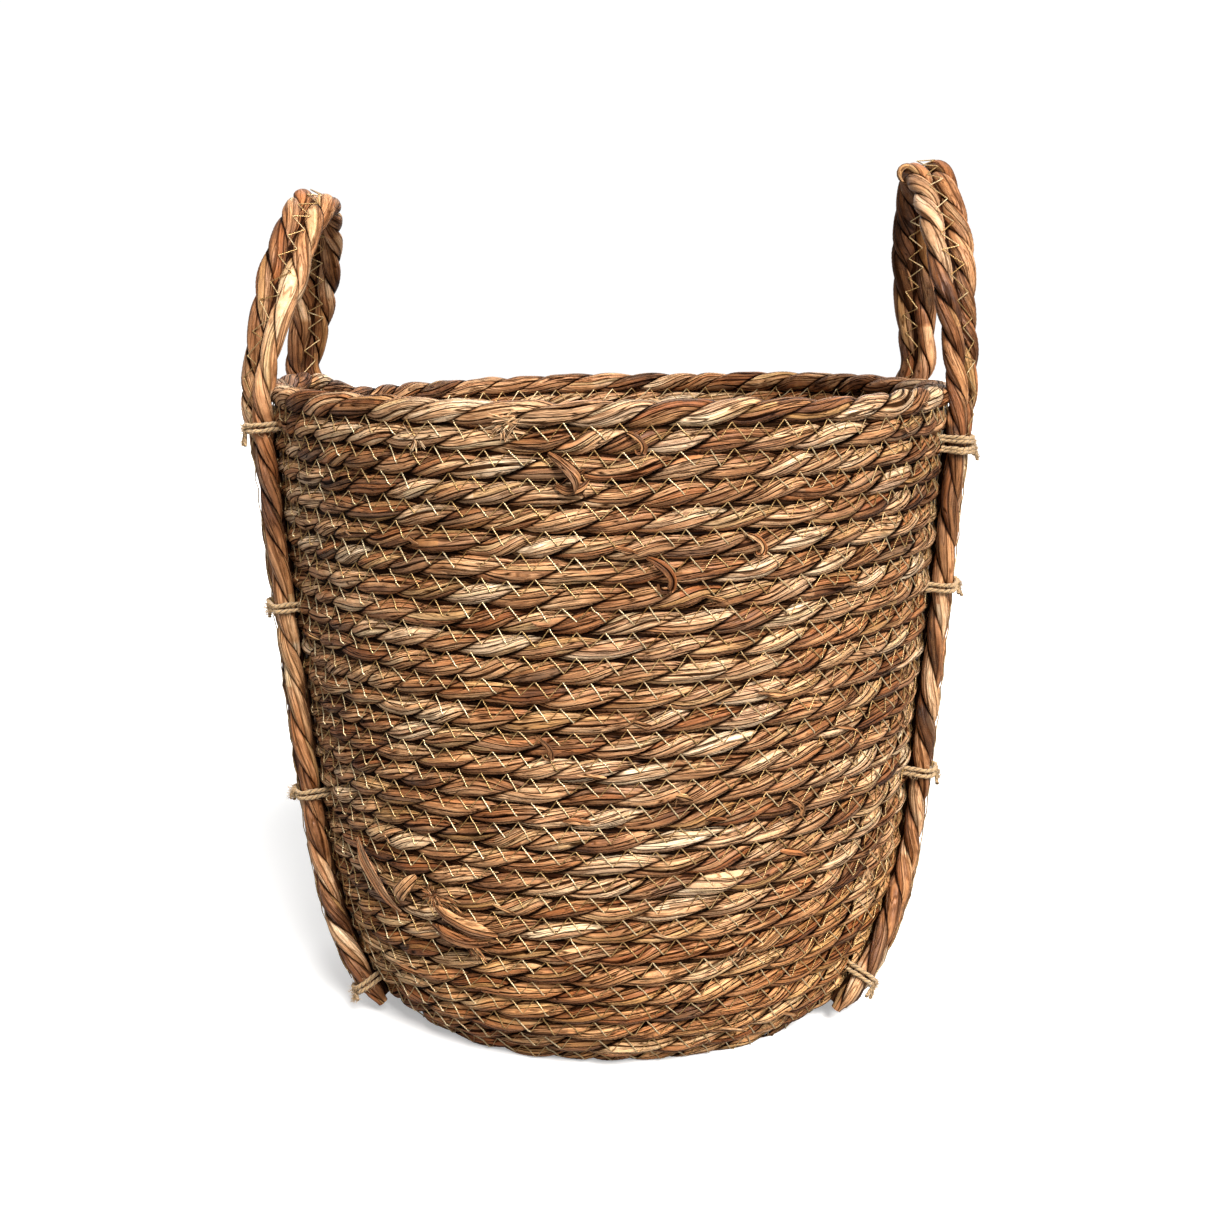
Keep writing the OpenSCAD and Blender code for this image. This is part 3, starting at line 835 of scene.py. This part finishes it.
def make_strap(side, seed):
    lines = strap_paths(side)
    # the ropes bend from 9 mm below the bending line to 30 mm above it
    for k, which in enumerate(("inner", "outer")):
        P, F, s = lines[which]
        own_seed = seed + 211 * k
        high = smooth((P[:, 2] - BEND_Z) / 45)
        feet = (0.55 + 0.45 * smooth(s / 10)) * (0.55 + 0.45 * smooth((s[-1] - s) / 10))
        R = STRAP_R * (0.98 + 0.09 * high + 0.05 * noise(s, 60, own_seed + 3)) * feet
        parts = Parts()
        stray = 0.3 * noise(s, 80, own_seed + 9)
        low_tone, high_tone = STRAP_TONE[side]
        # legs and arch have tones of their own, and the ropes are painted darker towards the back, a
        # painted shade
        tone = low_tone * (1 - high) + high_tone * high - 0.24 * smooth((P[:, 1] + 10) / 45)
        look = {"press": (0.6, 0.6), "tone": tone, "width": 5.2, "flat": STRAP_FLAT}
        rope(parts, P + stray[:, None] * F, F, s, R, STRAP_LAY, own_seed, **look)
        if which == "inner":
            strap_shade_core(parts, P, lines["outer"][0], F, s)
        o = parts.make(f"{side}_strap_{which}_rope", STRAP_GRASS)
        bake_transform(o)
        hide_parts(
            f"{side}_arch_{which}_rope", f"{side}_front_leg_{which}_rope", f"{side}_back_leg_{which}_rope"
        )
    rng = np.random.default_rng(seed + 5)
    parts = Parts()
    for face in (1, -1):
        strap_seam(parts, lines, face, rng, seed + 6)
    o = parts.make(f"{side}_strap_thread", THREAD)
    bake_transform(o)
    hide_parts(f"{side}_arch_stitching", f"{side}_front_leg_stitching", f"{side}_back_leg_stitching")


# ---------------------------------------------------------------- jute ties
TWINE_R, TWINE_LAY = 1.2, 6.0
TWINE_ANGLES = np.radians([-104, *range(-88, 89, 22), 102])
TWINE_LOOK = {"press": (0, 0), "width": 0.7, "angles": TWINE_ANGLES}
# where each turn of a tie crosses the middle of the leg, and its slope
TURNS = [(1.1, 0.03), (-1.1, -0.04)]
DOUBLE_TURNS = [(-3.9, 0.02), (-1.7, -0.03), (1.1, 0.05), (3.3, 0.02)]


def tie_loop():
    """The closed way of one turn of twine, round the strap and through the wall, in the leg's own frame."""
    wide, thick = STRAP_R + TWINE_R - 0.3, STRAP_FLAT * STRAP_R + TWINE_R - 0.6
    side, back, corner = STRAP_HALF + wide, STRAP_OFF + ROW_R + TWINE_R + 0.4, 3.0
    pts = [(-back, 0), (-back, side - corner)]
    for a in np.radians([30, 60, 90]):
        pts.append((-back + corner - corner * math.cos(a), side - corner + corner * math.sin(a)))
    pts += [(x, side) for x in (-12.0, -6.0)]
    pts += [(thick * math.sin(a), STRAP_HALF + wide * math.cos(a)) for a in np.radians([0, 22, 45, 68, 90])]
    pts += [(thick, 0)]
    upper = np.array(pts) + [0.5, 0]
    lower = upper[1:-1][::-1] * [1, -1]
    return np.vstack([upper, lower, upper[:1]])


def fuzz(parts, P, A, n, seed):
    """Short loose fibres along a piece of twine."""
    rng = np.random.default_rng(seed)
    at = rng.integers(1, len(P) - 1, n)
    away = unit(A[at] + rng.normal(0, 0.9, (n, 3)))
    T = unit(np.gradient(P, axis=0))[at]
    length = rng.uniform(1.2, 4.6, n)[:, None]
    bend = unit(away + T * rng.choice([-1.2, 1.2], (n, 1)) + rng.normal(0, 0.5, (n, 3)))
    base = P[at] + away * TWINE_R * 0.7
    X = np.stack([base, base + away * length * 0.4, base + away * length * 0.5 + bend * length * 0.6], 1)
    tube_sections(parts, X, np.broadcast_to(np.array([0.14, 0.11, 0.05]), (n, 3)), seed, sides=3)


def make_tie(side, end, i, seed):
    rng = np.random.default_rng(seed)
    t = TIE_ROWS[side][i]
    O = leg_mid(side, end, t)
    N, L, U = leg_axes(side, end, t)
    loop = tie_loop()
    lean_all = rng.normal(0, 0.05)
    parts = Parts()
    double = (side, end, i) == ("right", "front", 0)
    for h, tilt in DOUBLE_TURNS if double else TURNS:
        wander = rng.normal(0, 0.12, len(loop) - 1)
        wander = np.append(wander, wander[0])
        rise = h + (tilt + lean_all) * loop[:, 1] + wander
        C = O + loop[:, :1] * N + loop[:, 1:] * L + rise[:, None] * U
        P, _, s = spline(C, 0.8)
        A = unit(P - (O - 7 * N))
        thick = TWINE_R * (1 + 0.10 * noise(s, 9, seed))
        rope(parts, P, A, s, thick, TWINE_LAY, seed, **TWINE_LOOK)
        fuzz(parts, P, A, 60, seed + 3)
    # a small knot somewhere across the leg, and two loose ends out of it
    knot_at = O + (STRAP_FLAT * STRAP_R + TWINE_R) * N + rng.uniform(-6, 6) * L
    a = np.linspace(0, 2 * np.pi, 40)
    reach = 2.0 + np.cos(3 * a)
    knot = np.stack([reach * np.cos(2 * a), reach * np.sin(2 * a), np.sin(3 * a) + 0.6], -1) * 0.62
    ends = [knot @ np.stack([L, U, N])]
    for way in (-1, 1):
        g = np.linspace(0, 1, 9)[:, None]
        far = way * rng.uniform(3, 6) * L - rng.uniform(3, 9) * U + rng.uniform(0.5, 3.5) * N
        ends.append(g * far + (g * (1 - g)) * rng.uniform(-4, 4) * U + (1 - g) * 0.5 * N)
    for C in ends:
        P, _, s = spline(knot_at + C, 0.7)
        A = np.broadcast_to(N, P.shape)
        rope(parts, P, A, s, np.full(len(s), 0.85 * TWINE_R), 5.0, seed + 9, **TWINE_LOOK)
        fuzz(parts, P, unit(A + 0.5 * L), 26, seed + 4)
    o = parts.make(f"{side}_{end}_twine_{i + 1}", JUTE)
    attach(o, "basket")
    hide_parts(f"{side}_{end}_tie_{i + 1}")


# ---------------------------------------------------------------- loose leaf ends, folds and splices
def strips(parts, X, W, width, tone, seed, thick=0.16):
    """Flat leaves along X of shape (leaves, points, 3), each with its own width direction W."""
    n, m, _ = X.shape
    rng = np.random.default_rng(seed)
    T = unit(np.gradient(X, axis=1))
    Wd = unit(W[:, None] - (W[:, None] * T).sum(-1, keepdims=True) * T)
    Nd = np.cross(Wd, T)
    f = np.linspace(0, 1, m)
    taper = np.minimum(1, 0.35 + 2.6 * f) * np.minimum(1, 0.25 + 2.2 * (1 - f))
    half = 0.5 * np.asarray(width)[:, None] * taper * (1 + 0.12 * np.sin(9 * f + rng.uniform(0, 6, (n, 1))))
    ang = np.radians(np.arange(0, 360, 36))
    camber = 0.22 * np.cos(2 * ang)
    across = half[..., None] * np.cos(ang)
    up = half[..., None] * (thick * np.sin(ang) - camber * 0.6)
    ring = X[:, :, None, :] + across[..., None] * Wd[:, :, None, :] + up[..., None] * Nd[:, :, None, :]
    w = across / 2.4 + rng.uniform(0, 40, (n, 1, 1))
    along = many_lengths(X)[:, :, None] / 10 + rng.random((n, 1, 1)) * 30
    leaf = np.stack(np.broadcast_arrays(w, along, rng.random((n, 1, 1)) * 9), -1)
    t = np.broadcast_to(tone, n)[:, None, None]
    look = np.stack(np.broadcast_arrays(t + 0 * w, 1.0, 0.5), -1)
    parts.add(ring, many_tubes(n, m, len(ang)), leaf, look)


class Spot:
    """A place on the rope's skin, with the directions right, down and out as seen from that side."""

    def __init__(self, row, azimuth, inside=False):
        turn = T_END - (math.radians(azimuth) - END_AZIMUTH) / (2 * math.pi)
        self.t = min(max(turn + round(row - turn), T_START + 0.3), T_END - 0.3)
        _, A, U = coil_path(coil_s(self.t))
        self.o = coil_skin(self.t, math.pi if inside else 0.0)
        self.out = -A if inside else A
        self.down = U
        self.right = np.cross(self.out, self.down)

    def at(self, pts):
        pts = np.asarray(pts, float)
        return self.o + pts[..., :1] * self.right + pts[..., 1:2] * self.down + pts[..., 2:] * self.out

    def way(self, x, y, z):
        return x * self.right + y * self.down + z * self.out


def splinters(parts, spot, n, reach, direction, spread, tone, seed, centre=(0, 0), wide=(0.5, 1.6)):
    """A frayed bundle: n thin splinters round one direction in the wall's face."""
    rng = np.random.default_rng(seed)
    a = math.radians(direction) + rng.normal(0, math.radians(spread), n)
    length = reach * rng.uniform(0.45, 1.0, n)
    x0 = centre[0] + rng.normal(0, 0.16 * reach, n)
    y0 = centre[1] + rng.normal(0, 0.12 * reach, n)
    f = np.linspace(0, 1, 5)[None, :]
    lift = rng.uniform(0.06, 0.30, n)[:, None]
    x = x0[:, None] + np.cos(a)[:, None] * length[:, None] * f
    y = y0[:, None] + np.sin(a)[:, None] * length[:, None] * f
    z = -0.4 + lift * length[:, None] * f ** 1.6
    W = np.stack([spot.way(-math.sin(v), math.cos(v), rng.normal(0, 0.5)) for v in a])
    widths = rng.uniform(*wide, n)
    tones = tone + rng.normal(0, 0.12, n)
    strips(parts, spot.at(np.stack([x, y, z], -1)), unit(W), widths, tones, seed + 1)


def folded_leaf(parts, spot, pts, width, tone, seed, across):
    """One broad leaf through the points pts (right, down, out), its width along across."""
    X = spline(spot.at(pts), 0.9)[0]
    strips(parts, X[None], unit(spot.way(*across))[None], np.array([width]), tone, seed)


# a curled end, right, down and out of its place on the rope
CURL = [(-5, -6, 0), (-2, -5, 2.2), (2, -2, 3.4), (4, 2, 3.4), (3, 5.5, 2.4), (0, 5.5, 1.6), (-1, 3, 2.4)]
# row, azimuth, size and tone of the curled ends between the rows
CURLS = [
    (26.6, 273.5, 0.80, 0.35),
    (22.4, 277.0, 1.25, 0.24),
    (22.6, 291.5, 0.80, 0.70),
    (15.2, 259.0, 0.90, 0.30),
    (12.5, 301.0, 0.80, 0.50),
]


def make_loose_leaves():
    parts = Parts()
    # a dark leaf folded over below the rim, in the middle of the front
    s = Spot(25.8, 264.0)
    hook = [(-9, -7, -1), (-6, -6, 2.0), (0, -2, 5.0), (4, 3, 5.5), (3, 8, 3.5), (-2, 9, 1.5), (-6, 6, 0)]
    folded_leaf(parts, s, hook, 5.5, 0.22, 1, (-0.5, 1, 0.4))
    folded_leaf(parts, s, [(-6, 7, 0), (0, 9, 2.6), (6, 7, 3.2), (9, 4, 1.2)], 4.5, 0.30, 2, (0.3, 1, 0.4))
    splinters(parts, s, 10, 9, 60, 40, 0.25, 3, centre=(1, 4))
    # frayed patches on and under the rim
    splinters(parts, Spot(28.2, 255.0), 34, 12, 155, 30, 0.95, 11, centre=(3, 2))
    splinters(parts, Spot(28.2, 252.5), 16, 10, 20, 35, 0.85, 12, centre=(-1, 2))
    splinters(parts, Spot(27.2, 240.5), 22, 8, 70, 60, 0.90, 13)
    for k, (row, azimuth, size, tone) in enumerate(CURLS):
        curl = np.array(CURL) * size
        folded_leaf(parts, Spot(row, azimuth), curl, 3.6 * size, tone, 30 + k, (1, -0.9, 0.5))
    make_splice(parts)
    # smaller frays on the right
    splinters(parts, Spot(6.4, 294.0), 24, 8, 170, 40, 0.95, 60)
    splinters(parts, Spot(7.8, 324.0), 16, 8, 110, 35, 0.85, 61)
    make_random_ends(parts)
    o = parts.make("loose_leaves", GRASS)
    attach(o, "basket")


def make_splice(parts):
    """The big splice low at the left: a pale leaf, a fold, a frayed knot and torn leaves."""
    s = Spot(7.9, 222.0)
    pale = [(-16, -16, -0.5), (-9, -9, 2.4), (0, 0, 3.2), (9, 9, 2.8), (15, 16, -0.2)]
    folded_leaf(parts, s, pale, 9.5, 0.68, 50, (1, -0.8, 0))
    s = Spot(8.4, 231.0)
    fold = [(-9, 8, 0), (-4, 2, 3.6), (2, -4, 4.0), (7, -9, 1.0)]
    folded_leaf(parts, s, fold, 8.5, 0.52, 51, (1, 0.8, 0))
    s = Spot(7.9, 236.5)
    splinters(parts, s, 70, 7, 0, 180, 0.40, 52, centre=(-1, 0), wide=(0.5, 1.2))
    splinters(parts, s, 34, 14, 14, 18, 0.46, 53, centre=(3, 2))
    s = Spot(7.3, 242.5)
    torn = [(-15, -6, 0), (-7, -4, 2.8), (3, -1, 3.4), (12, 1, 2.4), (19, 3, -0.3)]
    folded_leaf(parts, s, torn, 9.0, 0.42, 54, (0.1, 1, 0))
    torn = [(-18, 4, 0), (-8, 6, 2.8), (3, 8, 3.0), (13, 8, -0.2)]
    folded_leaf(parts, s, torn, 8.0, 0.36, 55, (0.1, 1, 0))
    splinters(parts, s, 40, 15, 12, 20, 0.44, 56, centre=(-2, 8))


def make_random_ends(parts):
    """Leaf ends that have come loose anywhere, inside and out, and on the base."""
    rng = np.random.default_rng(77)
    for k in range(150):
        inside = k % 3 == 2
        s = Spot(rng.uniform(0.5, 28.2), rng.uniform(0, 360), inside)
        size, flip = rng.uniform(0.5, 1.1), rng.choice([-1.0, 1.0])
        lift = rng.uniform(0.6, 2.6)
        tip = (7, rng.uniform(0, 3.5), lift)
        way = [(-8, -1.5, -0.5), (-3, -0.5, 0.5), (2, 0.6, 0.9 + 0.3 * lift), tip]
        pts = np.array(way) * [flip * size, flip * size, 1]
        folded_leaf(parts, s, pts, rng.uniform(1.6, 3.4), rng.uniform(0.25, 0.8), 400 + k, (0.15, 1, 0.1))
        if k % 4 == 0:
            n = int(rng.integers(3, 8))
            reach, direction, tone = rng.uniform(4, 9), rng.uniform(0, 360), rng.uniform(0.4, 0.8)
            splinters(parts, s, n, reach, direction, 35, tone, 700 + k, wide=(0.2, 0.6))


def make_handle_leaves():
    """A curled leaf end that stands off the inner edge of the right handle, at its top."""
    parts = Parts()
    top = arch_points("right", np.array([94.0]), np.array([STRAP_HALF + 3.0]), np.array([0.0]))[0]
    a = np.radians(np.linspace(-80, 270, 17))
    X = top + np.stack([4.2 * np.cos(a) - 1.0, -a - 4.0, 4.4 * np.sin(a) - 1.0], -1)
    strips(parts, X[None], np.array([[0.15, 1.0, 0.1]]), np.array([6.0]), 0.34, 91, thick=0.5)
    o = parts.make("right_handle_loose_leaf", STRAP_GRASS)
    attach(o, "right_handle")


# ---------------------------------------------------------------- studio
# focal length for a sensor 36 mm wide, as it was fitted to the photograph
LENS = 49.451071


def make_studio():
    scene = bpy.context.scene
    me = bpy.data.meshes.new("floor")
    half = 6.0
    corners = [(-half, -half, 0), (half, -half, 0), (half, half, 0), (-half, half, 0)]
    me.from_pydata(corners, [], [(0, 1, 2, 3)])
    floor = bpy.data.objects.new("floor", me)
    scene.collection.objects.link(floor)
    m, t = new_material("pale_floor")
    # the floor is pale to the camera and throws less light up at the basket
    camera_ray = node(t, "LightPath").outputs["Is Camera Ray"]
    pale = node(t, "MapRange", {0: camera_ray, 3: 0.30, 4: 0.80}).outputs[0]
    glow = node(t, "MapRange", {0: camera_ray, 3: 0.0, 4: 0.35}).outputs[0]
    look = {"Base Color": pale, "Roughness": 0.9, "Specular IOR Level": 0.1, "Emission Strength": glow}
    p = node(t, "BsdfPrincipled", {**look, "Emission Color": (1.0, 1.0, 1.0, 1.0)})
    t.links.new(p.outputs[0], node(t, "OutputMaterial").inputs[0])
    me.materials.append(m)
    world = bpy.data.worlds.new("studio")
    world.use_nodes = True
    wt = world.node_tree
    back = wt.nodes["Background"]
    back.inputs[0].default_value = (1.0, 1.0, 1.0, 1.0)
    seen = wt.nodes.new("ShaderNodeLightPath")
    level = wt.nodes.new("ShaderNodeMapRange")
    level.inputs[3].default_value, level.inputs[4].default_value = 0.33, 1.02
    wt.links.new(seen.outputs["Is Camera Ray"], level.inputs[0])
    wt.links.new(level.outputs[0], back.inputs[1])
    scene.world = world

    def sun(name, place, power, spread, colour):
        d = bpy.data.lights.new(name, "SUN")
        d.angle, d.energy, d.color = math.radians(spread), power, colour
        o = bpy.data.objects.new(name, d)
        scene.collection.objects.link(o)
        o.rotation_euler = (-Vector(place)).to_track_quat("-Z", "Y").to_euler()

    sun("key", (0.50, -1.0, 1.0), 7.9, 30, (1.0, 0.98, 0.95))
    sun("fill", (-0.5, -1.0, 0.5), 0.2, 60, (0.97, 0.98, 1.0))
    sun("back", (0.1, 1.0, 0.6), 1.7, 60, (1.0, 0.99, 0.97))
    scene.view_settings.view_transform = "Standard"
    scene.view_settings.look = "None"
    scene.view_settings.exposure = 0.0

    # the camera stands where it was fitted to the photograph
    d = bpy.data.cameras.new("camera")
    d.sensor_width, d.lens = 36.0, LENS
    d.clip_start, d.clip_end = 0.01, 50.0
    cam = bpy.data.objects.new("camera", d)
    scene.collection.objects.link(cam)
    cam.location = (-0.0026, -0.900, RIM_TOP * MM + 0.0489)
    pitch, roll = math.radians(10.83), math.radians(0.66)
    tilt = Matrix.Rotation(math.pi / 2 - pitch, 4, "X") @ Matrix.Rotation(-roll, 4, "Z")
    cam.matrix_world = Matrix.Translation(cam.location) @ tilt
    scene.camera = cam


make_studio()
make_coil()
make_threads()
for n, side in enumerate(("left", "right")):
    make_strap(side, 1000 + 500 * n)
    for e, end in enumerate(("front", "back")):
        for i in range(4):
            make_tie(side, end, i, 5000 + 100 * n + 40 * e + 7 * i)
make_loose_leaves()
make_handle_leaves()
